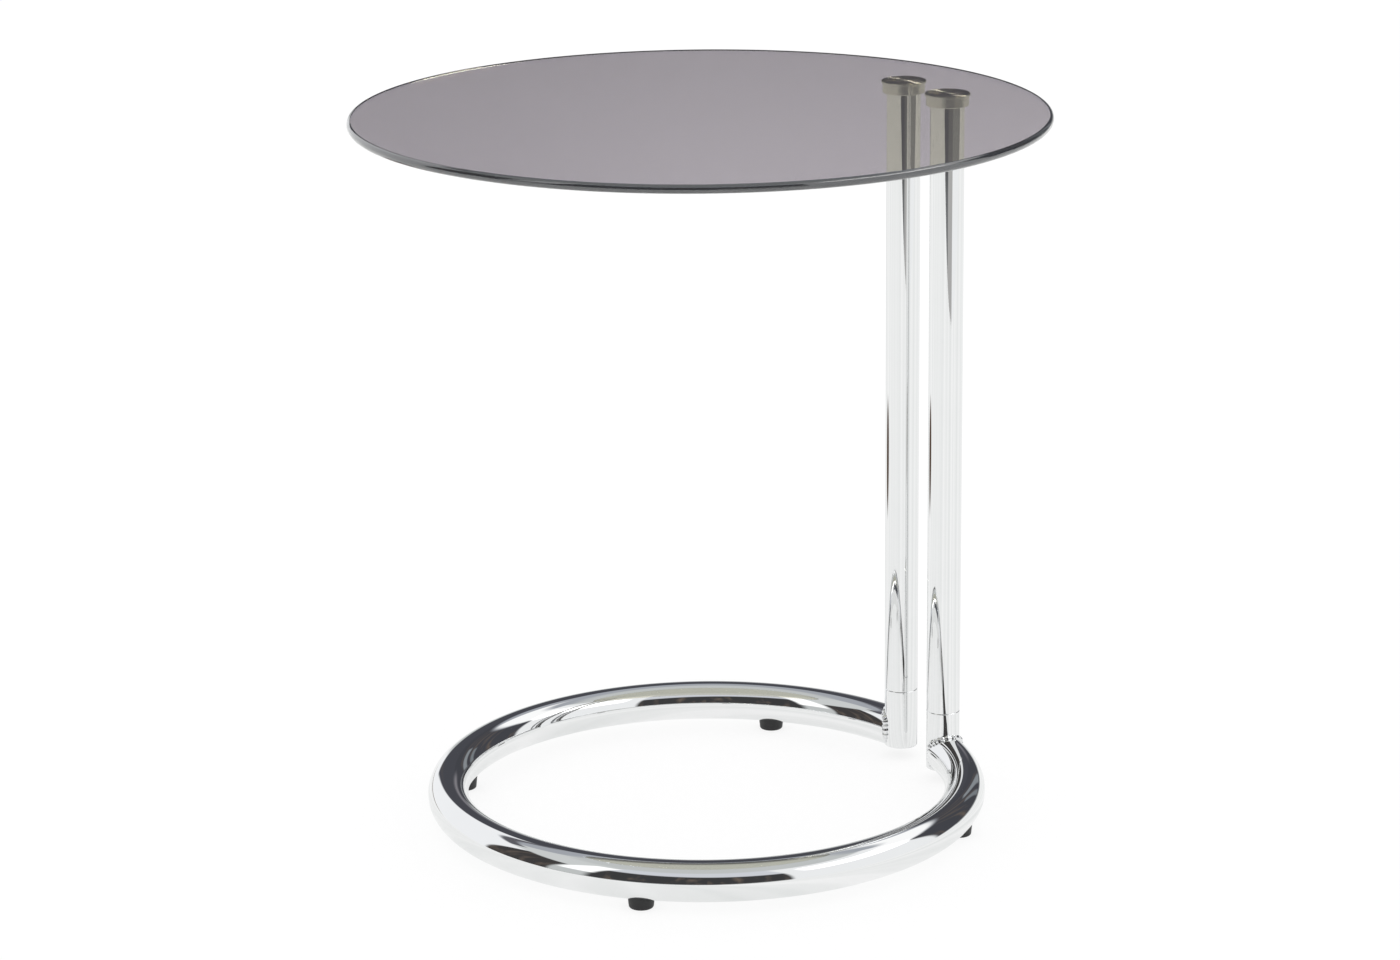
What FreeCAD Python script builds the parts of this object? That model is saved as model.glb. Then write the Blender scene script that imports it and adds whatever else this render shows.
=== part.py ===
import FreeCAD, Part
import math
import os

# Round side table: a smoked glass disc carried at one side by two upright tubes, which stand close
# together on a C-shaped ring of heavier tube with four rubber feet.
# Millimetres. Z is up, the floor is Z = 0 and the origin is on the floor under the middle of the top.
# The uprights stand on the +X side, left (+Y) and right (-Y) of the XZ plane. The open side is -X.

# Overall sizes. The uprights and the ring share one circle, post_inset in from the edge of the top
table_height = 508.0
top_diameter = 480.0
post_inset = 56.0
post_spacing = 57.0

# Glass top, with a pencil-ground rim that bulges by glass_rim_bulge from the flat faces
glass_thickness = 6.0
glass_rim_bulge = 2.4

# Glue film between the glass and each turned cap
glue_thickness = 0.2
glue_edge_margin = 0.6

# Turned caps on the uprights: a lip under the glass, a body, a socket for the tube and a threaded shank
cap_height = 8.5
cap_lip_diameter = 32.0
cap_lip_height = 1.6
cap_body_diameter = 30.0
cap_socket_depth = 5.0
cap_socket_fit = 0.15
cap_edge_chamfer = 0.4
cap_shank_length = 12.0

# Upright tubes, and the short stub tubes that they stand on
post_diameter = 24.0
post_wall = 1.5
stub_bottom_height = 9.0
stub_length = 44.0
tube_end_chamfer = 0.5

# Ring of the base
ring_tube_diameter = 28.6
ring_tube_wall = 1.5
ring_cut_distance = 5.0
weld_leg = 2.6

# Threads, drawn plain at their nominal size
thread_diameter = 8.0
thread_fit = 0.1
thread_end_chamfer = 1.0

# Threaded plugs pressed and welded into the tubes
plug_fit = 0.1
top_plug_length = 16.0
bottom_plug_length = 14.0
spigot_length = 8.0
spigot_chamfer = 1.0

# Web plate welded inside each stub, which the bolt pulls against
web_thickness = 4.0
web_gap = 0.3
web_hole_clearance = 0.5

# Bolt and washers under the web plate
bolt_head_diameter = 13.0
bolt_head_height = 8.0
bolt_length = 20.0
bolt_key_size = 6.0
bolt_key_depth = 4.0
washer_diameter = 16.0
washer_thickness = 1.6
washer_bore_clearance = 0.4
lock_washer_diameter = 14.8
lock_washer_thickness = 2.0
lock_washer_split = 1.2

# Moulded end cap pushed into the bottom of each stub
end_cap_height = 8.0
end_cap_wall = 1.5
end_cap_recess = 0.5
end_cap_lead = 1.0

# Rubber feet, and the screw in each
foot_height_under_tube = 6.0
foot_bottom_diameter = 16.8
foot_top_diameter = 18.8
foot_side_height = 9.8
foot_edge_round = 1.5
foot_saddle_fit = 0.05
foot_recess_diameter = 8.4
foot_recess_depth = 3.0
foot_angles = {"back_left": 45.0, "front_left": 133.5, "front_right": -133.5, "back_right": -45.0}
foot_screw_diameter = 3.9
foot_screw_length = 13.0
foot_screw_fit = 0.1
foot_screw_head_diameter = 7.5
foot_screw_head_height = 2.3
foot_screw_head_round = 1.0
foot_screw_tip = 3.0

# One overrun for every cut that runs past its stock
overrun = 1.0

# Places worked out from the sizes above
full_turn = 360.0
ring_circle_radius = top_diameter / 2 - post_inset
post_radius = post_diameter / 2
post_bore_radius = post_radius - post_wall
ring_tube_radius = ring_tube_diameter / 2
ring_height = foot_height_under_tube + ring_tube_radius
seam_height = stub_bottom_height + stub_length
glass_underside = table_height - glass_thickness
cap_top = glass_underside - glue_thickness
cap_bottom = cap_top - cap_height
post_top = cap_bottom + cap_socket_depth
thread_radius = thread_diameter / 2
thread_bore_radius = thread_radius + thread_fit
plug_radius = post_bore_radius - plug_fit
web_top = seam_height - spigot_length - web_gap
web_bottom = web_top - web_thickness
washer_bottom = web_bottom - washer_thickness
lock_washer_bottom = washer_bottom - lock_washer_thickness
washer_bore_radius = thread_radius + washer_bore_clearance
post_offset = post_spacing / 2
post_reach = math.sqrt(ring_circle_radius ** 2 - post_offset ** 2)
post_angle = math.degrees(math.asin(post_offset / ring_circle_radius))
foot_screw_hole_radius = foot_screw_diameter / 2 + foot_screw_fit

sides = {"left": 1, "right": -1}
up = FreeCAD.Vector(0, 0, 1)
origin = FreeCAD.Vector(0, 0, 0)


def vector(x, y, z):
    return FreeCAD.Vector(x, y, z)


def on_post_axis(shape, side):
    """Moves a shape made on the Z axis onto the axis of an upright."""
    return shape.translated(vector(post_reach, sides[side] * post_offset, 0))


def disc(radius, bottom, top):
    return Part.makeCylinder(radius, top - bottom, vector(0, 0, bottom), up)


def turned(outline):
    """Turns an outline of (radius, height) points about the Z axis."""
    points = [vector(radius, 0, height) for radius, height in outline]
    wire = Part.makePolygon(points + points[:1])
    return Part.Face(wire).revolve(origin, up, full_turn)


def pipe(outer_radius, inner_radius, bottom, top, chamfer):
    """A tube on the Z axis with its outer end edges broken."""
    return turned([
        (inner_radius, bottom),
        (outer_radius - chamfer, bottom),
        (outer_radius, bottom + chamfer),
        (outer_radius, top - chamfer),
        (outer_radius - chamfer, top),
        (inner_radius, top),
    ])


def ring_arc(tube_radius, start, end):
    """A solid stretch of the ring, between two angles about the Z axis."""
    circle = Part.Circle(vector(ring_circle_radius, 0, ring_height), vector(0, 1, 0), tube_radius)
    section = Part.Face(Part.Wire(circle.toShape()))
    section.rotate(origin, up, start)
    return section.revolve(origin, up, end - start)


def ring_angle(distance):
    """The angle that a distance along the ring's centre line covers."""
    return math.degrees(distance / ring_circle_radius)


def glass_top():
    """Flat disc whose rim is one arc from face to face."""
    rim = top_diameter / 2
    flat = rim - glass_rim_bulge
    middle = (glass_underside + table_height) / 2
    edge = Part.Arc(vector(flat, 0, glass_underside), vector(rim, 0, middle), vector(flat, 0, table_height))
    corners = [
        vector(flat, 0, table_height),
        vector(0, 0, table_height),
        vector(0, 0, glass_underside),
        vector(flat, 0, glass_underside),
    ]
    wire = Part.Wire([edge.toShape()] + Part.makePolygon(corners).Edges)
    return Part.Face(wire).revolve(origin, up, full_turn)


def glue_film():
    return disc(cap_lip_diameter / 2 - glue_edge_margin, cap_top, glass_underside)


def glass_cap():
    """One turned piece: lip, body with a socket for the tube, and the shank that screws into it."""
    lip = cap_lip_diameter / 2
    body = cap_body_diameter / 2
    socket = post_radius + cap_socket_fit
    shank_end = post_top - cap_shank_length
    return turned([
        (0, cap_top),
        (lip - cap_edge_chamfer, cap_top),
        (lip, cap_top - cap_edge_chamfer),
        (lip, cap_top - cap_lip_height),
        (body, cap_top - cap_lip_height),
        (body, cap_bottom + cap_edge_chamfer),
        (body - cap_edge_chamfer, cap_bottom),
        (socket, cap_bottom),
        (socket, post_top),
        (thread_radius, post_top),
        (thread_radius, shank_end + thread_end_chamfer),
        (thread_radius - thread_end_chamfer, shank_end),
        (0, shank_end),
    ])


def post():
    return pipe(post_radius, post_bore_radius, seam_height, post_top, tube_end_chamfer)


def top_plug():
    """Threaded insert, flush with the top of the upright."""
    bottom = post_top - top_plug_length
    return disc(plug_radius, bottom, post_top).cut(disc(thread_bore_radius, bottom - overrun, post_top + overrun))


def bottom_plug():
    """Threaded insert in the foot of the upright, whose spigot locates in the stub."""
    tip = seam_height - spigot_length
    top = seam_height + bottom_plug_length
    return turned([
        (thread_bore_radius, tip),
        (plug_radius - spigot_chamfer, tip),
        (plug_radius, tip + spigot_chamfer),
        (plug_radius, top),
        (thread_bore_radius, top),
    ])


def stub():
    return pipe(post_radius, post_bore_radius, stub_bottom_height, seam_height, tube_end_chamfer)


def web_plate():
    hole = disc(thread_radius + web_hole_clearance, web_bottom - overrun, web_top + overrun)
    return disc(plug_radius, web_bottom, web_top).cut(hole)


def washer():
    hole = disc(washer_bore_radius, washer_bottom - overrun, web_bottom + overrun)
    return disc(washer_diameter / 2, washer_bottom, web_bottom).cut(hole)


def lock_washer():
    """Spring washer, with its split on the side towards the ring's centre."""
    outer = lock_washer_diameter / 2
    hole = disc(washer_bore_radius, lock_washer_bottom - overrun, washer_bottom + overrun)
    split = Part.makeBox(
        outer + overrun,
        lock_washer_split,
        lock_washer_thickness + 2 * overrun,
        vector(-outer - overrun, -lock_washer_split / 2, lock_washer_bottom - overrun),
    )
    return disc(outer, lock_washer_bottom, washer_bottom).cut(hole).cut(split)


def post_bolt():
    """Socket-head bolt, put in from below."""
    head_bottom = lock_washer_bottom - bolt_head_height
    tip = lock_washer_bottom + bolt_length
    body = turned([
        (0, head_bottom),
        (bolt_head_diameter / 2, head_bottom),
        (bolt_head_diameter / 2, lock_washer_bottom),
        (thread_radius, lock_washer_bottom),
        (thread_radius, tip - thread_end_chamfer),
        (thread_radius - thread_end_chamfer, tip),
        (0, tip),
    ])
    corner = bolt_key_size / 2 / math.cos(math.pi / 6)
    corners = [
        vector(corner * math.cos(k * math.pi / 3), corner * math.sin(k * math.pi / 3), head_bottom - overrun)
        for k in range(6)
    ]
    key = Part.Face(Part.makePolygon(corners + corners[:1])).extrude(vector(0, 0, bolt_key_depth + overrun))
    return body.cut(key)


def end_cap():
    """Cup pushed into the stub from below, its closed face down and set back from the tube's end."""
    bottom = stub_bottom_height + end_cap_recess
    top = bottom + end_cap_height
    inner = plug_radius - end_cap_wall
    return turned([
        (0, bottom),
        (plug_radius, bottom),
        (plug_radius, top - end_cap_lead),
        (plug_radius - end_cap_lead, top),
        (inner, top),
        (inner, bottom + end_cap_wall),
        (0, bottom + end_cap_wall),
    ])


def foot_place(name):
    angle = math.radians(foot_angles[name])
    return vector(ring_circle_radius * math.cos(angle), ring_circle_radius * math.sin(angle), 0)


def base_ring():
    """C-shaped tube. Each end is saddle-cut to wrap the side of its stub."""
    start = post_angle + ring_angle(ring_cut_distance)
    end = full_turn - start
    tube = ring_arc(ring_tube_radius, start, end)
    tube = tube.cut(ring_arc(ring_tube_radius - ring_tube_wall, start, end))
    for side in sides:
        tube = tube.cut(on_post_axis(disc(post_radius, 0, seam_height), side))
    for name in foot_angles:
        tube = tube.cut(disc(foot_screw_hole_radius, 0, ring_height).translated(foot_place(name)))
    return tube


def ring_weld(side):
    """Bead round the mouth of the ring tube: what lies within a weld leg of both tubes, and in neither."""
    turn = sides[side]
    mouth = post_angle + ring_angle(ring_cut_distance)
    toe = post_angle + ring_angle(ring_cut_distance - weld_leg)
    far = post_angle + ring_angle(post_diameter)
    around_ring = ring_arc(ring_tube_radius + weld_leg, turn * toe, turn * far)
    around_stub = on_post_axis(disc(post_radius + weld_leg, stub_bottom_height, seam_height), side)
    bead = around_ring.common(around_stub)
    bead = bead.cut(ring_arc(ring_tube_radius, turn * mouth, turn * (far + mouth)))
    return bead.cut(on_post_axis(disc(post_radius, 0, seam_height), side))


def foot(name):
    """Tapered rubber foot with a saddle for the ring tube and a recess for the screw's head."""
    bottom = foot_bottom_diameter / 2
    top = foot_top_diameter / 2
    body = Part.makeCone(bottom, top, foot_side_height)
    rim = [edge for edge in body.Edges if edge.BoundBox.ZMax < foot_edge_round and edge.Closed]
    body = body.makeFillet(foot_edge_round, rim)
    body = body.cut(disc(foot_recess_diameter / 2, -overrun, foot_recess_depth))
    body = body.cut(disc(foot_screw_hole_radius, 0, foot_side_height + overrun))
    body.translate(foot_place(name))
    reach = ring_angle(foot_top_diameter)
    angle = foot_angles[name]
    return body.cut(ring_arc(ring_tube_radius + foot_saddle_fit, angle - reach, angle + reach))


def foot_screw(name):
    """Pan-head tapping screw, up through the foot into the tube."""
    shank = foot_screw_diameter / 2
    head = foot_screw_head_diameter / 2
    head_bottom = foot_recess_depth - foot_screw_head_height
    tip = foot_recess_depth + foot_screw_length
    screw = turned([
        (0, head_bottom),
        (head - foot_screw_head_round, head_bottom),
        (head, head_bottom + foot_screw_head_round),
        (head, foot_recess_depth),
        (shank, foot_recess_depth),
        (shank, tip - foot_screw_tip),
        (0, tip),
    ])
    return screw.translated(foot_place(name))


def table_pieces():
    pieces = {"glass_top": glass_top(), "base_ring": base_ring()}
    on_each_post = {
        "glue_film": glue_film,
        "glass_cap": glass_cap,
        "post": post,
        "top_plug": top_plug,
        "bottom_plug": bottom_plug,
        "stub": stub,
        "web_plate": web_plate,
        "washer": washer,
        "lock_washer": lock_washer,
        "post_bolt": post_bolt,
        "end_cap": end_cap,
    }
    for side in sides:
        for name, make in on_each_post.items():
            pieces[name + "_" + side] = on_post_axis(make(), side)
        pieces["ring_weld_" + side] = ring_weld(side)
    for name in foot_angles:
        pieces["foot_" + name] = foot(name)
        pieces["foot_screw_" + name] = foot_screw(name)
    return pieces


os.makedirs("parts", exist_ok=True)
for node, shape in table_pieces().items():
    shape.exportStep("parts/" + node + ".step")
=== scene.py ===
import math

import bmesh
import bpy
from mathutils import Matrix, Vector


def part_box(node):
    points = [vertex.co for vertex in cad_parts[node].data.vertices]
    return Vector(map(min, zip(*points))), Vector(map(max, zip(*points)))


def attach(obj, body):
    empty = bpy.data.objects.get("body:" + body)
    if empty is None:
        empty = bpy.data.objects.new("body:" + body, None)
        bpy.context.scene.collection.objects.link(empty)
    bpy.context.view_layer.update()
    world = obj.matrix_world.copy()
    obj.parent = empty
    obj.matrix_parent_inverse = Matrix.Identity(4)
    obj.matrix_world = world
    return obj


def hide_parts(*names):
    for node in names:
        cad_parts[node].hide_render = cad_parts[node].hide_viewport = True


# Round side table: a smoked glass disc carried at one side by two chromed uprights, which stand close
# together on a C-shaped ring of chromed tube with four rubber feet. Metres, in the frame's own axes.

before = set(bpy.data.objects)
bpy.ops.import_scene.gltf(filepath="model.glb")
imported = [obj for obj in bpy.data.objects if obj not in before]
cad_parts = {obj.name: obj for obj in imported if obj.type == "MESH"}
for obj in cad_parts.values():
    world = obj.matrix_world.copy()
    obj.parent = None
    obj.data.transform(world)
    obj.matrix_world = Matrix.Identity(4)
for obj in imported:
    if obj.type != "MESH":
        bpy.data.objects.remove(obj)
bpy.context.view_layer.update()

sides = ("left", "right")
foot_names = ("back_left", "front_left", "front_right", "back_right")


def box_middle(node):
    low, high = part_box(node)
    return (low + high) / 2


# Places read from the frame
glass_low, glass_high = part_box("glass_top")
ring_low, ring_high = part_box("base_ring")
post_low, post_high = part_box("post_left")
stub_low, stub_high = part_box("stub_left")
cap_low, cap_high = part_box("glass_cap_left")
post_axis = {side: box_middle("post_" + side).xy for side in sides}
ring_radius = post_axis["left"].length
post_angle = abs(math.atan2(post_axis["left"].y, post_axis["left"].x))
ring_tube_radius = (ring_high.z - ring_low.z) / 2
ring_height = (ring_high.z + ring_low.z) / 2

# Glass top, and the bonds that hold the caps to it
glass_radius = glass_high.x
glass_rim_bulge = 0.0024
glass_segments = 512
rim_steps = 20
bond_radius = 0.0153
bond_segments = 128

# Uprights and stubs
post_radius = 0.012
post_wall = 0.0015
tube_edge_round = 0.0005
tube_segments = 160

# Turned caps
cap_lip_radius = 0.016
cap_lip_height = 0.0016
cap_body_radius = 0.015
cap_height = 0.0085
cap_socket_depth = 0.005
cap_socket_fit = 0.00015
cap_shank_radius = 0.004
cap_edge_round = 0.0004

# Ring
ring_wall = 0.0015
mouth_distance = 0.005
ring_steps = 420
ring_sides = 72

# Weld bead: its line stands off both tubes by bead_lift and stays within bead_farthest of the stub's axis
bead_radius = 0.0023
bead_lift = 0.0002
bead_mouth_distance = 0.0050
bead_farthest = 0.0126
bead_pitch = 0.0032
bead_ripple = 0.26
bead_steps = 360
bead_sides = 24
bead_seed = 7

# How unevenly the bead was laid: swells to the metre, the shift of its ripple in radians, the shares of its
# radius that the swells reach, and how bluntly its ends come in to the last share
bead_wander_scale = 260.0
bead_wander_shift = 3.0
bead_thinnest = 0.85
bead_unevenness = 0.3
bead_end_bluntness = 12.0
bead_tip_share = 0.15

# Noise values between which haze and grain run from end to end, the weight of the fine grain in the grain's
# shade, and what is left of chrome's brightness where it is hazy
haze_span = (0.35, 0.75)
grain_span = (0.3, 0.7)
fine_share = 0.4
hazy_share = 0.97

# Smallest distance that counts as apart, and how far from a corner a long side is held straight
touch = 0.00001
merge_distance = touch / 10
steady_margin = 0.0002
corner_steps = 5


# Mesh helpers

def new_piece(name, mesh):
    piece = bpy.data.objects.new(name, mesh)
    bpy.context.scene.collection.objects.link(piece)
    return piece


def close_and_smooth(mesh, crease):
    """Merges doubles, turns faces outwards and shades smooth up to the crease angle in degrees."""
    work = bmesh.new()
    work.from_mesh(mesh)
    bmesh.ops.remove_doubles(work, verts=work.verts, dist=merge_distance)
    bmesh.ops.recalc_face_normals(work, faces=work.faces)
    work.to_mesh(mesh)
    work.free()
    mesh.shade_smooth()
    mesh.set_sharp_from_angle(angle=math.radians(crease))
    return mesh


def rounded(corners):
    """Outline of (radius, height, round) corners, each round drawn as a tangent arc."""
    outline = []
    for index, (radius, height, size) in enumerate(corners):
        corner = Vector((radius, height))
        if size == 0:
            outline.append(corner)
            continue
        before = (Vector(corners[index - 1][:2]) - corner).normalized()
        after = (Vector(corners[(index + 1) % len(corners)][:2]) - corner).normalized()
        half = before.angle(after) / 2
        centre = corner + (before + after).normalized() * size / math.sin(half)
        start = corner + before * size / math.tan(half) - centre
        end = corner + after * size / math.tan(half) - centre
        for step in range(corner_steps + 1):
            outline.append(centre + start.slerp(end, step / corner_steps).normalized() * size)
    return outline


def steadied(outline):
    """Adds a point close to each end of every long side, so that smooth shading leaves the side straight."""
    steady = []
    for here, there in zip(outline, outline[1:] + outline[:1]):
        here, there = Vector(here), Vector(there)
        steady.append(here)
        step = (there - here).normalized() * steady_margin
        if (there - here).length > 4 * steady_margin:
            steady += [here + step, there - step]
    return steady


def turned(name, outline, axis):
    """Turns an outline of (radius, height) points about the vertical line through axis."""
    points, faces, rows = [], [], []
    for radius, height in steadied(outline):
        count = tube_segments if radius > touch else 1
        rows.append(range(len(points), len(points) + count))
        for step in range(count):
            angle = math.tau * step / tube_segments
            points.append((axis[0] + radius * math.cos(angle), axis[1] + radius * math.sin(angle), height))
    for row, following in zip(rows, rows[1:] + rows[:1]):
        for step in range(tube_segments):
            here, there = step, (step + 1) % tube_segments
            corners = [row[here % len(row)], row[there % len(row)]]
            corners += [following[there % len(following)], following[here % len(following)]]
            face = list(dict.fromkeys(corners))
            if len(face) > 2:
                faces.append(face)
    mesh = bpy.data.meshes.new(name)
    mesh.from_pydata(points, [], faces)
    return new_piece(name, close_and_smooth(mesh, crease=30))


def finish_piece(piece, node, slot, *materials):
    """Lets a piece stand for its CAD node. A mesh grown by a tree has its material already."""
    for material in materials:
        if material.name not in piece.data.materials:
            piece.data.materials.append(material)
    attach(piece, "root")
    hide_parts(node)


# Node helpers, used by shader, world and geometry trees alike

def feed(tree, socket, value):
    if isinstance(value, bpy.types.NodeSocket):
        tree.links.new(value, socket)
    elif value is not None:
        socket.default_value = value


def add(tree, kind, inputs=None, **settings):
    """Adds a node, sets its properties and feeds its inputs by name or number."""
    node = tree.nodes.new(kind)
    for key, value in settings.items():
        setattr(node, key, value)
    for key, value in (inputs or {}).items():
        feed(tree, node.inputs[key], value)
    return node


def calc(tree, operation, *values):
    return add(tree, "ShaderNodeMath", dict(enumerate(values)), operation=operation).outputs[0]


def vector_calc(tree, operation, *values):
    return add(tree, "ShaderNodeVectorMath", dict(enumerate(values)), operation=operation).outputs[0]


def scaled(tree, vector, factor):
    return add(tree, "ShaderNodeVectorMath", {0: vector, "Scale": factor}, operation="SCALE").outputs[0]


def length_of(tree, vector):
    return add(tree, "ShaderNodeVectorMath", {0: vector}, operation="LENGTH").outputs["Value"]


def combine(tree, x, y, z):
    return add(tree, "ShaderNodeCombineXYZ", {0: x, 1: y, 2: z}).outputs[0]


def separate(tree, vector):
    return add(tree, "ShaderNodeSeparateXYZ", {0: vector}).outputs


def polar(tree, radius, angle):
    """Point on the floor plane at this radius and angle."""
    x = calc(tree, "MULTIPLY", radius, calc(tree, "COSINE", angle))
    return combine(tree, x, calc(tree, "MULTIPLY", radius, calc(tree, "SINE", angle)), 0.0)


def mapped(tree, value, low, high, to_low=0.0, to_high=1.0, **settings):
    """The value carried from low..high to to_low..to_high, and held at the ends."""
    return add(tree, "ShaderNodeMapRange", {
        "Value": value, "From Min": low, "From Max": high, "To Min": to_low, "To Max": to_high,
    }, **settings).outputs[0]


def noise(tree, where, scale, detail):
    return add(tree, "ShaderNodeTexNoise", {"Vector": where, "Scale": scale, "Detail": detail}).outputs[0]


def noise_along(tree, distance, detail):
    """Noise along one number, about one swell to each unit."""
    return add(
        tree, "ShaderNodeTexNoise", {"W": distance, "Scale": 1.0, "Detail": detail},
        noise_dimensions="1D").outputs[0]


def blend_colour(tree, factor, first, second):
    """A colour mix. The node's sockets 6 and 7 and its output 2 are the colour ones."""
    return add(tree, "ShaderNodeMix", {0: factor, 6: first, 7: second}, data_type="RGBA").outputs[2]


def socket_kind(value):
    """The kind of socket that holds a value. Three numbers are a vector, four a colour, None a material."""
    if value is None:
        return "Material"
    if isinstance(value, tuple):
        return "Vector" if len(value) == 3 else "Color"
    return "Int" if isinstance(value, int) else "Float"


def new_group(name, kind, inputs, outputs):
    """A node group with named sockets. Inputs are name: value, and outputs name: kind."""
    group = bpy.data.node_groups.new(name, kind)
    for label, value in inputs.items():
        made = group.interface.new_socket(
            label, in_out="INPUT", socket_type="NodeSocket" + socket_kind(value))
        if value is not None:
            made.default_value = value
    for label, socket in outputs.items():
        group.interface.new_socket(label, in_out="OUTPUT", socket_type="NodeSocket" + socket)
    return group, group.nodes.new("NodeGroupInput").outputs, group.nodes.new("NodeGroupOutput").inputs


def socket_label(name):
    return name.replace("_", " ").title()


def place_group(tree, group, **inputs):
    kinds = {"ShaderNodeTree": "ShaderNodeGroup", "GeometryNodeTree": "GeometryNodeGroup"}
    node = tree.nodes.new(kinds[tree.bl_idname])
    node.node_tree = group
    for name, value in inputs.items():
        feed(tree, node.inputs[socket_label(name)], value)
    return node.outputs


def grown(name, tree, **inputs):
    """The plain mesh that a geometry tree makes from these named inputs."""
    carrier = new_piece(name + "_carrier", bpy.data.meshes.new(name + "_carrier"))
    modifier = carrier.modifiers.new("grow", "NODES")
    modifier.node_group = tree
    sockets = {item.name: item.identifier for item in tree.interface.items_tree if item.in_out == "INPUT"}
    for label, value in inputs.items():
        modifier[sockets[socket_label(label)]] = value
    graph = bpy.context.evaluated_depsgraph_get()
    mesh = bpy.data.meshes.new_from_object(carrier.evaluated_get(graph), depsgraph=graph)
    mesh.name = name
    bpy.data.objects.remove(carrier)
    return mesh


# Geometry trees for the ring and its weld beads

saddle_inputs = {
    "Ring Radius": 0.2,
    "Tube Radius": 0.01,
    "Stub Radius": 0.01,
    "Post Angle": 0.1,
    "Mouth Distance": 0.0,
}


def saddle_group():
    """Where a line along the ring's tube meets the stub: its place round the ring, as an angle."""
    group, given, result = new_group(
        "saddle_cut", "GeometryNodeTree", {"Around": 0.0, **saddle_inputs},
        {"Angle": "Float", "Reach": "Float", "Rise": "Float"})
    ring, tube = given["Ring Radius"], given["Tube Radius"]
    reach = calc(group, "MULTIPLY_ADD", calc(group, "COSINE", given["Around"]), tube, ring)
    rise = calc(group, "MULTIPLY", calc(group, "SINE", given["Around"]), tube)
    squares = calc(group, "ADD", calc(group, "POWER", reach, 2.0), calc(group, "POWER", ring, 2.0))
    squares = calc(group, "SUBTRACT", squares, calc(group, "POWER", given["Stub Radius"], 2.0))
    product = calc(group, "MULTIPLY", calc(group, "MULTIPLY", reach, ring), 2.0)
    cosine = calc(group, "MINIMUM", calc(group, "DIVIDE", squares, product), 1.0)
    stub_end = calc(group, "ADD", calc(group, "ARCCOSINE", cosine), given["Post Angle"])
    mouth_end = calc(group, "DIVIDE", given["Mouth Distance"], ring)
    mouth_end = calc(group, "ADD", mouth_end, given["Post Angle"])
    feed(group, result["Angle"], calc(group, "MAXIMUM", stub_end, mouth_end))
    feed(group, result["Reach"], reach)
    feed(group, result["Rise"], rise)
    return group


def place_saddle(tree, saddle, given, around, tube_radius):
    return place_group(
        tree, saddle, around=around, ring_radius=given["Ring Radius"], tube_radius=tube_radius,
        stub_radius=given["Stub Radius"], post_angle=given["Post Angle"],
        mouth_distance=given["Mouth Distance"])


def finish_tree(tree, result, geometry, finish):
    real = add(tree, "GeometryNodeRealizeInstances", {"Geometry": geometry})
    done = add(tree, "GeometryNodeSetMaterial", {"Geometry": real.outputs[0], "Material": finish})
    feed(tree, result[0], done.outputs[0])
    return tree


def ring_tree(saddle):
    """The C-shaped tube as one closed sheet: out along the outer wall and back along the bore."""
    tree, given, result = new_group(
        "ring_tube", "GeometryNodeTree",
        {**saddle_inputs, "Ring Height": 0.02, "Tube Wall": 0.001, "Steps": 300, "Sides": 48, "Finish": None},
        {"Geometry": "Geometry"})
    rows = calc(tree, "MULTIPLY", given["Steps"], 2.0)
    sheet = add(tree, "GeometryNodeMeshGrid", {
        "Size X": 1.0,
        "Size Y": 1.0,
        "Vertices X": calc(tree, "ADD", rows, 1.0),
        "Vertices Y": calc(tree, "ADD", given["Sides"], 1.0),
    })
    along, across, _ = separate(tree, add(tree, "GeometryNodeInputPosition").outputs[0])
    row = calc(tree, "ROUND", calc(tree, "MULTIPLY", calc(tree, "ADD", along, 0.5), rows))
    row = calc(tree, "MODULO", row, rows)
    around = calc(tree, "MULTIPLY", calc(tree, "ADD", across, 0.5), math.tau)
    inside = calc(tree, "GREATER_THAN", row, calc(tree, "SUBTRACT", given["Steps"], 0.5))
    last = calc(tree, "SUBTRACT", given["Steps"], 1.0)
    outward = calc(tree, "DIVIDE", row, last)
    homeward = calc(tree, "SUBTRACT", calc(tree, "SUBTRACT", rows, 1.0), row)
    homeward = calc(tree, "DIVIDE", homeward, last)
    share = calc(tree, "MULTIPLY_ADD", inside, calc(tree, "SUBTRACT", homeward, outward), outward)
    wall = calc(tree, "MULTIPLY", inside, given["Tube Wall"])
    radius = calc(tree, "SUBTRACT", given["Tube Radius"], wall)
    angle, reach, rise = place_saddle(tree, saddle, given, around, radius)
    sweep = calc(tree, "MULTIPLY_ADD", angle, -2.0, math.tau)
    turn = calc(tree, "MULTIPLY_ADD", share, sweep, angle)
    lift = combine(tree, 0.0, 0.0, calc(tree, "ADD", rise, given["Ring Height"]))
    place = vector_calc(tree, "ADD", polar(tree, reach, turn), lift)
    bent = add(tree, "GeometryNodeSetPosition", {"Geometry": sheet.outputs["Mesh"], "Position": place})
    closed = add(
        tree, "GeometryNodeMergeByDistance", {"Geometry": bent.outputs[0], "Distance": merge_distance})
    return finish_tree(tree, result, closed.outputs[0], given["Finish"])


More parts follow.
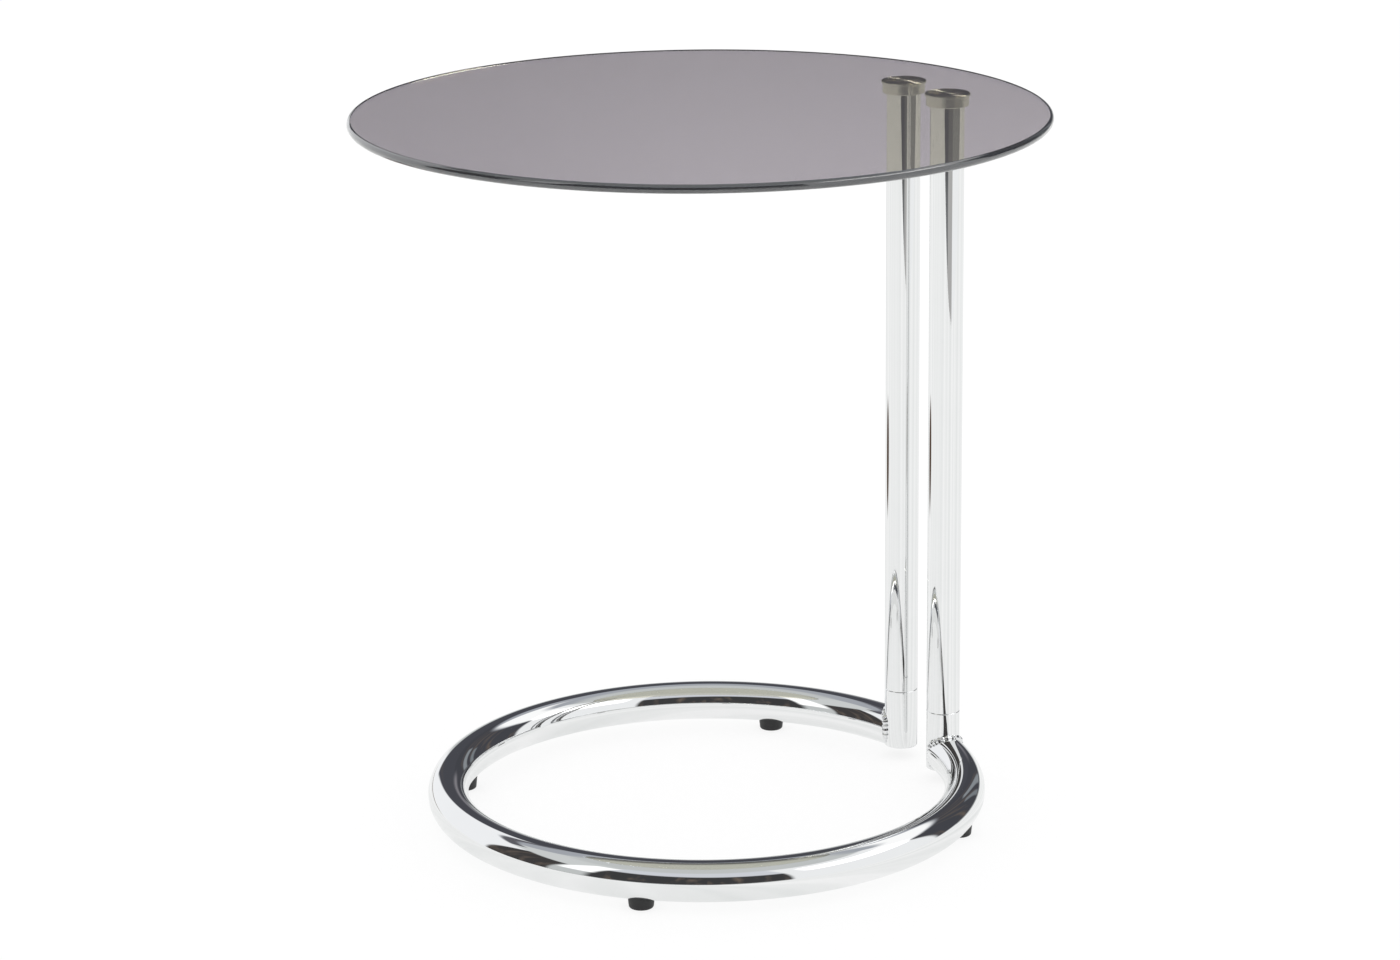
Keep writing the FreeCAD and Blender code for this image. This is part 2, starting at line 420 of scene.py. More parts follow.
def bead_tree(saddle):
    """A weld bead laid along the corner between the ring's tube and the stub, with its ripples."""
    tree, given, result = new_group(
        "weld_bead", "GeometryNodeTree",
        {
            **saddle_inputs,
            "Ring Height": 0.02,
            "Farthest": 0.012,
            "Side": 1.0,
            "First Angle": 0.0,
            "Last Angle": 3.0,
            "Bead Radius": 0.002,
            "Ripple Pitch": 0.002,
            "Ripple Depth": 0.2,
            "Steps": 200,
            "Sides": 16,
            "Seed": 1,
            "Finish": None,
        },
        {"Geometry": "Geometry"})
    line = add(tree, "GeometryNodeCurvePrimitiveLine", {"End": (1.0, 0.0, 0.0)}).outputs[0]
    fine = add(tree, "GeometryNodeResampleCurve", {"Curve": line, "Count": given["Steps"]}).outputs[0]
    share = separate(tree, add(tree, "GeometryNodeInputPosition").outputs[0])[0]
    sweep = calc(tree, "SUBTRACT", given["Last Angle"], given["First Angle"])
    around = calc(tree, "MULTIPLY_ADD", share, sweep, given["First Angle"])
    angle, reach, rise = place_saddle(tree, saddle, given, around, given["Tube Radius"])
    axis = polar(tree, given["Ring Radius"], given["Post Angle"])
    off = vector_calc(tree, "SUBTRACT", polar(tree, reach, angle), axis)
    hold = calc(tree, "MINIMUM", calc(tree, "DIVIDE", given["Farthest"], length_of(tree, off)), 1.0)
    x, y, _ = separate(tree, vector_calc(tree, "ADD", axis, scaled(tree, off, hold)))
    y = calc(tree, "MULTIPLY", y, given["Side"])
    place = combine(tree, x, y, calc(tree, "ADD", rise, given["Ring Height"]))
    laid = add(tree, "GeometryNodeSetPosition", {"Geometry": fine, "Position": place}).outputs[0]

    spline = add(tree, "GeometryNodeSplineParameter").outputs
    laid_length, laid_share = spline["Length"], spline["Factor"]
    wander = calc(tree, "MULTIPLY_ADD", laid_length, bead_wander_scale, given["Seed"])
    wander = noise_along(tree, wander, 2.0)
    phase = calc(tree, "DIVIDE", calc(tree, "MULTIPLY", laid_length, math.pi), given["Ripple Pitch"])
    phase = calc(tree, "MULTIPLY_ADD", wander, bead_wander_shift, phase)
    crest = calc(tree, "POWER", calc(tree, "SINE", phase), 2.0)
    trough = calc(tree, "SUBTRACT", 1.0, given["Ripple Depth"])
    swell = calc(tree, "MULTIPLY_ADD", crest, given["Ripple Depth"], trough)
    uneven = calc(tree, "MULTIPLY_ADD", wander, bead_unevenness, bead_thinnest)
    ends = calc(tree, "MULTIPLY", calc(tree, "SUBTRACT", 1.0, laid_share), laid_share)
    taper = calc(tree, "MINIMUM", calc(tree, "MULTIPLY", ends, bead_end_bluntness), 1.0)
    taper = calc(tree, "MAXIMUM", calc(tree, "POWER", taper, 0.5), bead_tip_share)
    radius = calc(tree, "MULTIPLY", calc(tree, "MULTIPLY", swell, uneven), given["Bead Radius"])
    profile = add(tree, "GeometryNodeCurvePrimitiveCircle", {"Resolution": given["Sides"], "Radius": 1.0})
    tube = add(tree, "GeometryNodeCurveToMesh", {
        "Curve": laid,
        "Profile Curve": profile.outputs[0],
        "Scale": calc(tree, "MULTIPLY", radius, taper),
        "Fill Caps": True,
    })
    return finish_tree(tree, result, tube.outputs[0], given["Finish"])


# Shader groups shared by the finishes

def polish_group():
    """Fine haze and plating ripple of a polished surface."""
    group, given, result = new_group(
        "polish", "ShaderNodeTree",
        {"Smoothest": 0.02, "Roughest": 0.05, "Haze Scale": 40.0, "Ripple Scale": 60.0},
        {"Roughness": "Float", "Height": "Float", "Mask": "Float"})
    where = add(group, "ShaderNodeTexCoord").outputs["Object"]
    haze = noise(group, where, given["Haze Scale"], 5.0)
    rough = mapped(group, haze, *haze_span, given["Smoothest"], given["Roughest"])
    feed(group, result["Roughness"], rough)
    feed(group, result["Height"], noise(group, where, given["Ripple Scale"], 1.0))
    feed(group, result["Mask"], haze)
    return group


def off_axis(tree, axis):
    """Where a point lies from a vertical axis: x, y, z and its distance."""
    where = add(tree, "ShaderNodeTexCoord").outputs["Object"]
    x, y, z = separate(tree, vector_calc(tree, "SUBTRACT", where, axis))
    return x, y, z, length_of(tree, combine(tree, x, y, 0.0))


def turning_group():
    """Concentric tool marks about a vertical axis."""
    group, given, result = new_group(
        "turning_marks", "ShaderNodeTree", {"Axis": (0.0, 0.0, 0.0), "Pitch": 0.0003},
        {"Height": "Float", "Mask": "Float"})
    _, _, z, radius = off_axis(group, given["Axis"])
    travel = calc(group, "DIVIDE", calc(group, "ADD", radius, z), given["Pitch"])
    marks = noise_along(group, travel, 3.0)
    feed(group, result["Height"], marks)
    feed(group, result["Mask"], marks)
    return group


def grain_group():
    """Moulded or plated grain with slow changes of shade."""
    group, given, result = new_group(
        "fine_grain", "ShaderNodeTree",
        {
            "Grain Scale": 2000.0,
            "Shade Scale": 60.0,
            "Light Colour": (0.1, 0.1, 0.1, 1.0),
            "Dark Colour": (0.0, 0.0, 0.0, 1.0),
            "Smoothest": 0.4,
            "Roughest": 0.6,
        },
        {"Colour": "Color", "Roughness": "Float", "Height": "Float"})
    where = add(group, "ShaderNodeTexCoord").outputs["Object"]
    grain = noise(group, where, given["Grain Scale"], 2.0)
    shade = noise(group, where, given["Shade Scale"], 4.0)
    slow = calc(group, "MULTIPLY", shade, 1.0 - fine_share)
    mixed = calc(group, "MULTIPLY_ADD", grain, fine_share, slow)
    tone = blend_colour(group, mapped(group, mixed, *grain_span), given["Dark Colour"], given["Light Colour"])
    rough = mapped(group, mixed, *grain_span, given["Smoothest"], given["Roughest"])
    feed(group, result["Colour"], tone)
    feed(group, result["Roughness"], rough)
    feed(group, result["Height"], grain)
    return group


polish = polish_group()
turning_marks = turning_group()
fine_grain = grain_group()


# Materials

def grey(level):
    return (level, level, level, 1.0)


def new_material(name, **constants):
    """A material with one Principled shader, whose constant values are set on its own sockets."""
    material = bpy.data.materials.new(name)
    material.use_nodes = True
    tree = material.node_tree
    shader = next(node for node in tree.nodes if node.type == "BSDF_PRINCIPLED")
    for label, value in constants.items():
        shader.inputs[label.replace("_", " ")].default_value = value
    return material, tree, shader.inputs


def bump(tree, height, depth):
    return add(tree, "ShaderNodeBump", {"Strength": 1.0, "Distance": depth, "Height": height}).outputs[0]


def chrome_material(name, base, smoothest, roughest, ripple_depth):
    """Bright plate, a touch greyer where it is hazy."""
    material, tree, shader = new_material(name, Metallic=1.0)
    rough, height, mask = place_group(tree, polish, smoothest=smoothest, roughest=roughest)
    hazy = tuple(hazy_share * part for part in base[:3]) + (1.0,)
    feed(tree, shader["Base Color"], blend_colour(tree, mask, base, hazy))
    feed(tree, shader["Roughness"], rough)
    feed(tree, shader["Normal"], bump(tree, height, ripple_depth))
    return material


def lathe_material(name, side, dark, light, smoothest, roughest, pitch, depth, **constants):
    """Steel with tool marks round an upright's axis. Anisotropic steel gets them as its grain too."""
    material, tree, shader = new_material(name + "_" + side, Metallic=1.0, **constants)
    axis = (post_axis[side].x, post_axis[side].y, 0.0)
    height, mask = place_group(tree, turning_marks, axis=axis, pitch=pitch)
    feed(tree, shader["Base Color"], blend_colour(tree, mask, dark, light))
    feed(tree, shader["Roughness"], mapped(tree, mask, 0.0, 1.0, smoothest, roughest))
    feed(tree, shader["Normal"], bump(tree, height, depth))
    if "Anisotropic" in constants:
        x, y, _, radius = off_axis(tree, axis)
        feed(tree, shader["Tangent"], vector_calc(tree, "NORMALIZE", combine(tree, x, y, radius)))
    return material


def grained_material(name, dark, light, smoothest, roughest, grain_scale, depth, **constants):
    material, tree, shader = new_material(name, **constants)
    colour, rough, height = place_group(
        tree, fine_grain, grain_scale=grain_scale, light_colour=light, dark_colour=dark,
        smoothest=smoothest, roughest=roughest)
    feed(tree, shader["Base Color"], colour)
    feed(tree, shader["Roughness"], rough)
    feed(tree, shader["Normal"], bump(tree, height, depth))
    return material


def glass_material(name, smoothest, roughest, haze_scale, **constants):
    """Clear glass with a tint that deepens with the way that light takes through it."""
    material, tree, shader = new_material(name, **constants)
    rough, _, _ = place_group(tree, polish, smoothest=smoothest, roughest=roughest, haze_scale=haze_scale)
    feed(tree, shader["Roughness"], rough)
    tint = add(tree, "ShaderNodeVolumeAbsorption", {"Color": glass_tint, "Density": glass_density})
    output = next(node for node in tree.nodes if node.type == "OUTPUT_MATERIAL")
    tree.links.new(tint.outputs[0], output.inputs["Volume"])
    return material


glass_ior = 1.52
glass_tint = (0.53, 0.45, 0.06, 1.0)
glass_density = 62.0

smoked_glass = glass_material(
    "smoked_glass", smoothest=0.0, roughest=0.005, haze_scale=14.0,
    IOR=glass_ior, Transmission_Weight=1.0, Base_Color=grey(1.0))
ground_rim = glass_material(
    "ground_rim", smoothest=0.03, roughest=0.07, haze_scale=300.0,
    IOR=glass_ior, Transmission_Weight=0.92, Base_Color=(0.55, 0.58, 0.64, 1.0),
    Coat_Weight=1.0, Coat_Roughness=0.03, Coat_IOR=1.9)
chrome = chrome_material(
    "chrome", base=(0.88, 0.885, 0.885, 1.0), smoothest=0.015, roughest=0.045, ripple_depth=0.000003)
weld_chrome = chrome_material(
    "weld_chrome", base=(0.84, 0.845, 0.85, 1.0), smoothest=0.04, roughest=0.10, ripple_depth=0.00002)
turned_steel = {
    side: lathe_material(
        "turned_steel", side, dark=(0.66, 0.65, 0.61, 1.0), light=(0.84, 0.83, 0.78, 1.0),
        smoothest=0.10, roughest=0.18, pitch=0.00025, depth=0.000004, Anisotropic=1.0)
    for side in sides
}
# The caps' glued faces: the caps' own turned steel painted darker, a painted shade that deepens the dark
# sides of their highlight seen through the glass
glued_steel_painted_shade = {
    side: lathe_material(
        "glued_steel_painted_shade", side, dark=(0.36, 0.35, 0.36, 1.0), light=(0.58, 0.57, 0.59, 1.0),
        smoothest=0.21, roughest=0.28, pitch=0.00025, depth=0.000004, Anisotropic=1.0)
    for side in sides
}
plain_steel = {
    side: lathe_material(
        "plain_steel", side, dark=(0.32, 0.32, 0.33, 1.0), light=grey(0.50),
        smoothest=0.3, roughest=0.5, pitch=0.0004, depth=0.00001)
    for side in sides
}
zinc_steel = grained_material(
    "zinc_steel", dark=(0.52, 0.53, 0.56, 1.0), light=(0.72, 0.73, 0.71, 1.0),
    smoothest=0.28, roughest=0.45, grain_scale=1500.0, depth=0.00001, Metallic=1.0)
rubber = grained_material(
    "rubber", dark=(0.012, 0.012, 0.013, 1.0), light=(0.030, 0.030, 0.031, 1.0),
    smoothest=0.42, roughest=0.62, grain_scale=2600.0, depth=0.00003)
black_plastic = grained_material(
    "black_plastic", dark=(0.014, 0.014, 0.015, 1.0), light=(0.024, 0.024, 0.025, 1.0),
    smoothest=0.32, roughest=0.46, grain_scale=3200.0, depth=0.00002)
clear_glue = grained_material(
    "clear_glue", dark=(0.8, 0.8, 0.76, 1.0), light=(0.9, 0.9, 0.88, 1.0),
    smoothest=0.05, roughest=0.2, grain_scale=900.0, depth=0.00001, Alpha=0.02, Specular_IOR_Level=0.0)


# Pieces

def circle(work, middle, radius, height, count):
    """Points in order round middle."""
    points = []
    for step in range(count):
        angle = math.tau * step / count
        x, y = middle[0] + radius * math.cos(angle), middle[1] + radius * math.sin(angle)
        points.append(work.verts.new((x, y, height)))
    return points


def closed_edges(work, points):
    pairs = zip(points, points[1:] + points[:1])
    return [work.edges.get(pair) or work.edges.new(pair) for pair in pairs]


def glass_rim():
    """Outline of the rim from face to face: one arc, as (radius, height)."""
    half = (glass_high.z - glass_low.z) / 2
    arc_radius = (half ** 2 + glass_rim_bulge ** 2) / (2 * glass_rim_bulge)
    middle = Vector((glass_radius - arc_radius, (glass_low.z + glass_high.z) / 2))
    reach = math.asin(half / arc_radius)
    turns = [reach * (2 * step / rim_steps - 1) for step in range(rim_steps + 1)]
    return [middle + arc_radius * Vector((math.cos(turn), math.sin(turn))) for turn in turns]


def glass_top():
    """Flat disc with a ground rim. Where a cap is glued on, its turned face shows in the underside."""
    materials = [smoked_glass, ground_rim, *glued_steel_painted_shade.values()]
    work = bmesh.new()
    rings = [circle(work, (0.0, 0.0), radius, height, glass_segments) for radius, height in glass_rim()]
    for lower, upper in zip(rings, rings[1:]):
        for here in range(glass_segments):
            there = (here + 1) % glass_segments
            face = work.faces.new((lower[here], lower[there], upper[there], upper[here]))
            face.material_index = materials.index(ground_rim)
    middle = work.verts.new((0.0, 0.0, glass_high.z))
    top = rings[-1]
    for here, there in zip(top, top[1:] + top[:1]):
        work.faces.new((middle, here, there))
    outlines = closed_edges(work, rings[0])
    for side in sides:
        bond = circle(work, post_axis[side], bond_radius, glass_low.z, bond_segments)
        work.faces.new(bond).material_index = materials.index(glued_steel_painted_shade[side])
        outlines += closed_edges(work, bond)
    bmesh.ops.triangle_fill(work, use_beauty=True, edges=outlines)
    mesh = bpy.data.meshes.new("glass_top_polished")
    work.to_mesh(mesh)
    work.free()
    piece = new_piece("glass_top_polished", close_and_smooth(mesh, crease=12))
    finish_piece(piece, "glass_top", "smoked_glass", *materials)


def upright(name, side, bottom, top):
    outer, inner = post_radius, post_radius - post_wall
    corners = [
        (inner, bottom, 0.0),
        (outer, bottom, tube_edge_round),
        (outer, top, tube_edge_round),
        (inner, top, 0.0),
    ]
    piece = turned(name + "_" + side + "_plated", rounded(corners), post_axis[side])
    finish_piece(piece, name + "_" + side, "chrome", chrome)


def glass_cap(side):
    """Lip, body with the socket that the upright goes up into, and the shank inside it."""
    top = cap_high.z
    bottom = top - cap_height
    socket = post_radius + cap_socket_fit
    ceiling = bottom + cap_socket_depth
    corners = [
        (0.0, top, 0.0),
        (cap_lip_radius, top, cap_edge_round),
        (cap_lip_radius, top - cap_lip_height, cap_edge_round / 2),
        (cap_body_radius, top - cap_lip_height, 0.0),
        (cap_body_radius, bottom, cap_edge_round),
        (socket, bottom, 0.0),
        (socket, ceiling, 0.0),
        (cap_shank_radius, ceiling, 0.0),
        (cap_shank_radius, cap_low.z, cap_edge_round),
        (0.0, cap_low.z, 0.0),
    ]
    piece = turned("glass_cap_" + side + "_turned", rounded(corners), post_axis[side])
    for face in piece.data.polygons:
        glued = face.center.z > top - touch
        # The glued face takes the darker copy of the steel, a painted shade
        face.material_index = 1 if glued else 0
    finish_piece(piece, "glass_cap_" + side, "turned_steel", turned_steel[side], glued_steel_painted_shade[side])


def base_ring(tree):
    mesh = grown(
        "base_ring_plated", tree,
        ring_radius=ring_radius, ring_height=ring_height, tube_radius=ring_tube_radius, tube_wall=ring_wall,
        stub_radius=post_radius, post_angle=post_angle, mouth_distance=mouth_distance,
        steps=ring_steps, sides=ring_sides, finish=chrome)
    piece = new_piece("base_ring_plated", close_and_smooth(mesh, crease=40))
    finish_piece(piece, "base_ring", "chrome", chrome)


def ring_weld(tree, side):
    """Bead from the stub's bottom edge on one side, over the ring's tube, to the other side."""
    drop = math.asin((ring_height - stub_low.z - bead_radius) / ring_tube_radius)
    mesh = grown(
        "ring_weld_" + side + "_bead", tree,
        ring_radius=ring_radius, ring_height=ring_height, tube_radius=ring_tube_radius + bead_lift,
        stub_radius=post_radius + bead_lift, post_angle=post_angle, mouth_distance=bead_mouth_distance,
        farthest=bead_farthest, side=1.0 if side == "left" else -1.0,
        first_angle=-drop, last_angle=math.pi + drop,
        bead_radius=bead_radius, ripple_pitch=bead_pitch, ripple_depth=bead_ripple,
        steps=bead_steps, sides=bead_sides, seed=bead_seed, finish=weld_chrome)
    piece = new_piece("ring_weld_" + side + "_bead", close_and_smooth(mesh, crease=60))
    finish_piece(piece, "ring_weld_" + side, "chrome", weld_chrome)


def foot(name):
    """A closed, smooth copy of the foot's CAD mesh, in moulded rubber."""
    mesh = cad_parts["foot_" + name].data.copy()
    mesh.name = "foot_" + name + "_moulded"
    mesh.materials.clear()
    if "custom_normal" in mesh.attributes:
        mesh.attributes.remove(mesh.attributes["custom_normal"])
    piece = new_piece(mesh.name, close_and_smooth(mesh, crease=35))
    finish_piece(piece, "foot_" + name, "rubber", rubber)


def dress_node(node, material):
    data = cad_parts[node].data
    data.materials.clear()
    data.materials.append(material)


def hidden_pieces():
    """The pieces inside keep their CAD meshes and get their finishes."""
    finishes = {
        "glue_film": clear_glue,
        "top_plug": plain_steel,
        "bottom_plug": plain_steel,
        "web_plate": plain_steel,
        "washer": zinc_steel,
        "lock_washer": zinc_steel,
        "post_bolt": zinc_steel,
        "end_cap": black_plastic,
    }
    for name, finish in finishes.items():
        for side in sides:
            dress_node(name + "_" + side, finish[side] if isinstance(finish, dict) else finish)
    for name in foot_names:
        dress_node("foot_screw_" + name, zinc_steel)


glass_top()
saddle = saddle_group()
base_ring(ring_tree(saddle))
bead = bead_tree(saddle)
for side in sides:
    upright("post", side, post_low.z, post_high.z)
    upright("stub", side, stub_low.z, stub_high.z)
    glass_cap(side)
    ring_weld(bead, side)
for name in foot_names:
    foot(name)
hidden_pieces()


# Camera: the photograph's, fitted to the outlines of the top, the ring and the uprights

camera_height = 1.0432
camera_distance = 2.7466
camera_bearing = 0.5148
camera_shift_right = 0.0024
camera_turn = -0.0018
camera_pitch = 0.2822
camera_roll = -0.0099
camera_focal_pixels = 4095.6
photo_width = 1400
sensor_width = 36.0

away = Vector((math.sin(camera_bearing), math.cos(camera_bearing), 0.0))
rightward = Vector((math.cos(camera_bearing), -math.sin(camera_bearing), 0.0))


def photo_camera():
    data = bpy.data.cameras.new("photo_camera")
    data.sensor_width = sensor_width
    data.lens = camera_focal_pixels * sensor_width / photo_width
    camera = bpy.data.objects.new("photo_camera", data)
    bpy.context.scene.collection.objects.link(camera)
    aim = Matrix.Rotation(-(camera_bearing + camera_turn), 4, "Z")
    aim @= Matrix.Rotation(math.pi / 2 - camera_pitch, 4, "X")
    aim @= Matrix.Rotation(camera_roll, 4, "Z")
    place = rightward * camera_shift_right - away * camera_distance
    place.z = camera_height
    camera.matrix_world = Matrix.Translation(place) @ aim
    bpy.context.scene.camera = camera


# Studio: bearings in degrees clockwise from the camera's heading, heights in degrees above the horizon.
# To the camera it is plain white. What metal and glass mirror of it has the panels and bands below.

white = grey(1.0)

# A bounce count above this is one or more
half_bounce = 0.5

# Floor
floor_front = 1.44
floor_front_bearing = 146.0
floor_back = 7.0
floor_half_width = 7.0
floor_dark = grey(0.20)
floor_light = grey(0.204)
floor_mottle_scale = 3.0
floor_glow = 0.82
floor_behind_glass = (0.82, 0.79, 1.06, 1.0)

# Floor as metal mirrors it: painted reflection in the floor's glow and colour for mirrored rays only, by the
# bearing from between the uprights. A span gives the values from which and to which something comes in
floor_band_dark = (0.84, 0.855, 0.85, 1.0)
floor_band_light = white
floor_band_scale = 0.055
floor_band_span = (0.35, 0.65)
# Painted shade in reflection: the floor that metal mirrors is darker straight ahead
floor_ahead = (0.50, 0.51, 0.52, 1.0)
floor_ahead_reach = 26.0
floor_ahead_fade = 14.0
# Painted reflection: a brown patch on the floor that shows only in what is mirrored
painted_brown_reflection = (0.05, 0.03, 0.02, 1.0)
brown_bearing = 303.0
brown_half_width = 15.0
brown_distance = 0.86
brown_half_depth = 0.22
brown_edge_span = (1.0, 0.5)

# World
ceiling_colour = (0.58, 0.60, 0.60, 1.0)
below_colour = (0.175, 0.18, 0.185, 1.0)
horizon_span = (-1.0, 0.5)

# Clutter that shows in the dark panels, away from straight ahead
clutter_colour = (0.15, 0.12, 0.10, 1.0)
clutter_scale_across = 0.16
clutter_scale_up = 0.025
clutter_span = (0.52, 0.74)
clutter_dark_span = (0.22, 0.10)
clutter_aside_span = (12.0, 20.0)

# What is seen through the glass: the lamp over the caps, a dimmer room low ahead, and the plain background.
# The room is dimmed up to the overhead span, apart from what is both beside and raised
lamp_through_glass = (60.0, 60.0, 65.0, 1.0)
dimmed_through_glass = 0.3
overhead_span = (56.0, 66.0)
beside_span = (75.0, 95.0)
raised_span = (14.0, 24.0)
world_behind_glass = (0.82, 0.80, 1.02, 1.0)

# name: (bearing, half width, low, high, slant, softness, colour). Later panels stand before earlier ones
panels = {
    "left_upper_wall": (272.0, 34.0, 30.0, 62.0, 0.0, 3.0, (0.66, 0.68, 0.68, 1.0)),
    "far_upper_wall": (5.0, 60.0, 30.0, 62.0, 0.0, 4.0, (0.40, 0.42, 0.46, 1.0)),
    "near_upper_wall": (186.0, 45.0, 30.0, 60.0, 0.0, 4.0, (0.68, 0.70, 0.75, 1.0)),
    "near_dark": (187.0, 42.0, 0.5, 40.0, 0.10, 2.5, (0.05, 0.05, 0.052, 1.0)),
    "near_low_dark": (187.0, 60.0, -12.0, 0.5, 0.0, 0.3, (0.09, 0.09, 0.092, 1.0)),
    "near_low_right": (155.0, 20.0, -60.0, 0.5, 0.0, 2.0, (0.45, 0.445, 0.44, 1.0)),
    "right_softbox": (104.0, 42.0, -60.0, 58.0, 0.0, 1.5, (0.94, 0.95, 0.96, 1.0)),
    "key_lamp": (50.0, 26.0, 38.0, 53.0, 0.0, 2.5, (1.1, 1.1, 1.1, 1.0)),
    "side_lamp": (104.0, 30.0, 37.0, 48.0, 0.0, 4.0, (3.5, 3.5, 3.5, 1.0)),
    "left_softbox": (311.0, 36.0, -60.0, 44.0, 0.0, 1.5, (0.97, 0.98, 1.0, 1.0)),
    "left_flag": (262.0, 16.0, -2.0, 42.0, 0.20, 1.5, (0.055, 0.052, 0.052, 1.0)),
    "left_spot": (236.0, 8.0, 22.0, 56.0, 0.0, 2.0, (1.25, 1.25, 1.25, 1.0)),
    "far_flag": (40.0, 36.0, 1.5, 37.0, 0.0, 2.0, (0.062, 0.064, 0.075, 1.0)),
    "far_flag_left": (355.0, 15.0, 9.0, 45.0, 0.0, 1.5, (0.07, 0.072, 0.085, 1.0)),
    "far_glow": (5.0, 7.0, 10.8, 14.5, 0.0, 3.0, (0.27, 0.26, 0.285, 1.0)),
    "arch_line": (318.0, 24.0, 44.0, 48.5, -0.05, 1.2, (0.12, 0.12, 0.14, 1.0)),
    "far_streak_one": (26.0, 2.5, 4.0, 25.0, 0.0, 1.0, (0.26, 0.28, 0.30, 1.0)),
    "far_streak_two": (35.0, 2.0, 4.0, 22.0, 0.0, 1.0, (0.20, 0.22, 0.24, 1.0)),
}


def turned_within(tree, degrees):
    """The same bearing, between -180 and 180."""
    return calc(tree, "WRAP", degrees, 180.0, -180.0)


def panel_group():
    """How much of a direction falls on an upright panel of the studio."""
    group, given, result = new_group(
        "studio_panel", "ShaderNodeTree",
        {
            "Bearing": 0.0,
            "Rise": 0.0,
            "Middle": 0.0,
            "Half Width": 10.0,
            "Low": 0.0,
            "High": 30.0,
            "Slant": 0.0,
            "Softness": 1.0,
        },
        {"Mask": "Float"})
    off = turned_within(group, calc(group, "SUBTRACT", given["Bearing"], given["Middle"]))
    slanted = calc(group, "SUBTRACT", given["Rise"], calc(group, "MULTIPLY", off, given["Slant"]))
    outside = calc(group, "MULTIPLY", given["Softness"], -1.0)
    mask = 1.0
    for margin in (
        calc(group, "SUBTRACT", given["Half Width"], calc(group, "ABSOLUTE", off)),
        calc(group, "SUBTRACT", given["Rise"], given["Low"]),
        calc(group, "SUBTRACT", given["High"], slanted),
    ):
        step = mapped(group, margin, outside, given["Softness"], interpolation_type="SMOOTHSTEP")
        mask = calc(group, "MULTIPLY", mask, step)
    feed(group, result["Mask"], mask)
    return group


def mirrored_panels(tree, bearing, rise):
    """The room's colour in a direction, and the mask of the key lamp."""
    colour = blend_colour(tree, mapped(tree, rise, *horizon_span), below_colour, ceiling_colour)
    panel = panel_group()
    masks = {}
    for name, (middle, half_width, low, high, slant, softness, tone) in panels.items():
        masks[name] = place_group(
            tree, panel, bearing=bearing, rise=rise, middle=middle, half_width=half_width,
            low=low, high=high, slant=slant, softness=softness)["Mask"]
        colour = blend_colour(tree, masks[name], colour, tone)
    return colour, masks["key_lamp"]


def cluttered(tree, colour, bearing, rise):
    """The room's colour with clutter in its dark panels."""
    across = calc(tree, "MULTIPLY", bearing, clutter_scale_across)
    upward = calc(tree, "MULTIPLY", rise, clutter_scale_up)
    strong = mapped(tree, noise(tree, combine(tree, across, upward, 0.0), 1.0, 3.0), *clutter_span)
    dark = mapped(tree, add(tree, "ShaderNodeRGBToBW", {0: colour}).outputs[0], *clutter_dark_span)
    aside = mapped(tree, calc(tree, "ABSOLUTE", bearing), *clutter_aside_span)
    amount = calc(tree, "MULTIPLY", strong, calc(tree, "MULTIPLY", dark, aside))
    return blend_colour(tree, amount, colour, clutter_colour)


def dimming(tree, bearing, rise):
    """How much of the room is left through the glass: little low ahead, all of it overhead and beside."""
    overhead = mapped(tree, rise, *overhead_span, dimmed_through_glass, 1.0)
    beside = mapped(tree, calc(tree, "ABSOLUTE", bearing), *beside_span)
    raised = mapped(tree, rise, *raised_span)
    return calc(tree, "MAXIMUM", overhead, calc(tree, "MULTIPLY", beside, raised))


def studio_world():
    """Plain white all round, with the studio's panels standing in what metal and glass mirror."""
    world = bpy.data.worlds.new("studio")
    bpy.context.scene.world = world
    world.use_nodes = True
    world.cycles.sampling_method = "NONE"
    tree = world.node_tree
    tree.nodes.clear()
    ray = add(tree, "ShaderNodeTexCoord").outputs["Generated"]
    ray = add(
        tree, "ShaderNodeVectorRotate", {"Vector": ray, "Angle": camera_bearing},
        rotation_type="Z_AXIS").outputs[0]
    across, ahead, height = separate(tree, ray)
    bearing = calc(tree, "DEGREES", calc(tree, "ARCTAN2", across, ahead))
    rise = calc(tree, "DEGREES", calc(tree, "ARCSINE", height))
    room, key_lamp = mirrored_panels(tree, bearing, rise)
    room = cluttered(tree, room, bearing, rise)
    dimmed = scaled(tree, room, dimming(tree, bearing, rise))
    through = blend_colour(tree, key_lamp, dimmed, lamp_through_glass)

    path = add(tree, "ShaderNodeLightPath").outputs
    behind_glass = calc(tree, "GREATER_THAN", path["Transmission Depth"], half_bounce)
    room = blend_colour(tree, behind_glass, room, through)
    plain = blend_colour(tree, behind_glass, white, world_behind_glass)
    glossy = calc(tree, "GREATER_THAN", path["Glossy Depth"], half_bounce)
    unscattered = calc(tree, "LESS_THAN", path["Diffuse Depth"], half_bounce)
    seen = blend_colour(tree, calc(tree, "MULTIPLY", glossy, unscattered), plain, room)
    background = add(tree, "ShaderNodeBackground", {"Color": seen, "Strength": 1.0})
    output = add(tree, "ShaderNodeOutputWorld")
    tree.links.new(background.outputs[0], output.inputs[0])


